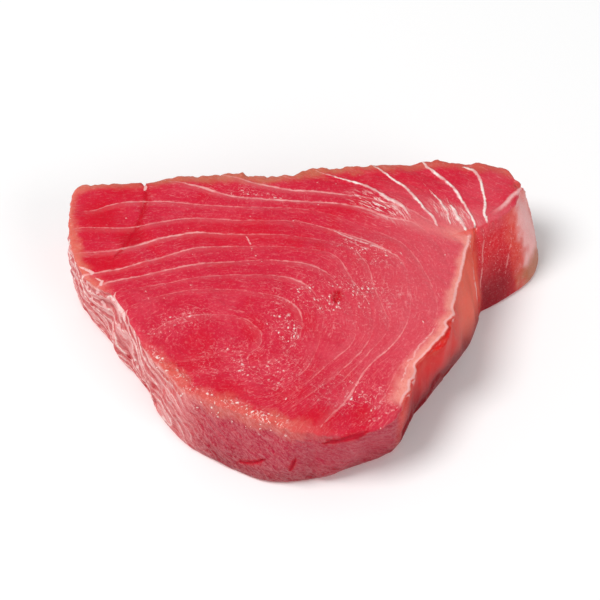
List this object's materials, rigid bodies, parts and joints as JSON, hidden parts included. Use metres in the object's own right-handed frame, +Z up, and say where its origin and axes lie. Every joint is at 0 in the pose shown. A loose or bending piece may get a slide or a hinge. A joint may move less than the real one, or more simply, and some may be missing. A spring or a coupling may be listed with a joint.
{
  "type": "raw tuna steak",
  "caption": "Thick wedge-shaped slice of raw red fish loin with a smaller lobe at one end, lying flat on its cut face.",
  "frame": {"origin": "middle of the bounding box in plan, at the height of the flat underside", "axes": "+X along the straight back edge towards the smaller lobe, +Y towards the back edge, +Z up through the thickness"},
  "size_m": [0.134, 0.0956, 0.0251],
  "materials": {
    "flesh": "wet raw fish flesh, red with pale seams between the flakes"
  },
  "bodies": {
    "root": {"tuna_steak": "flesh"}
  },
  "joints": []
}
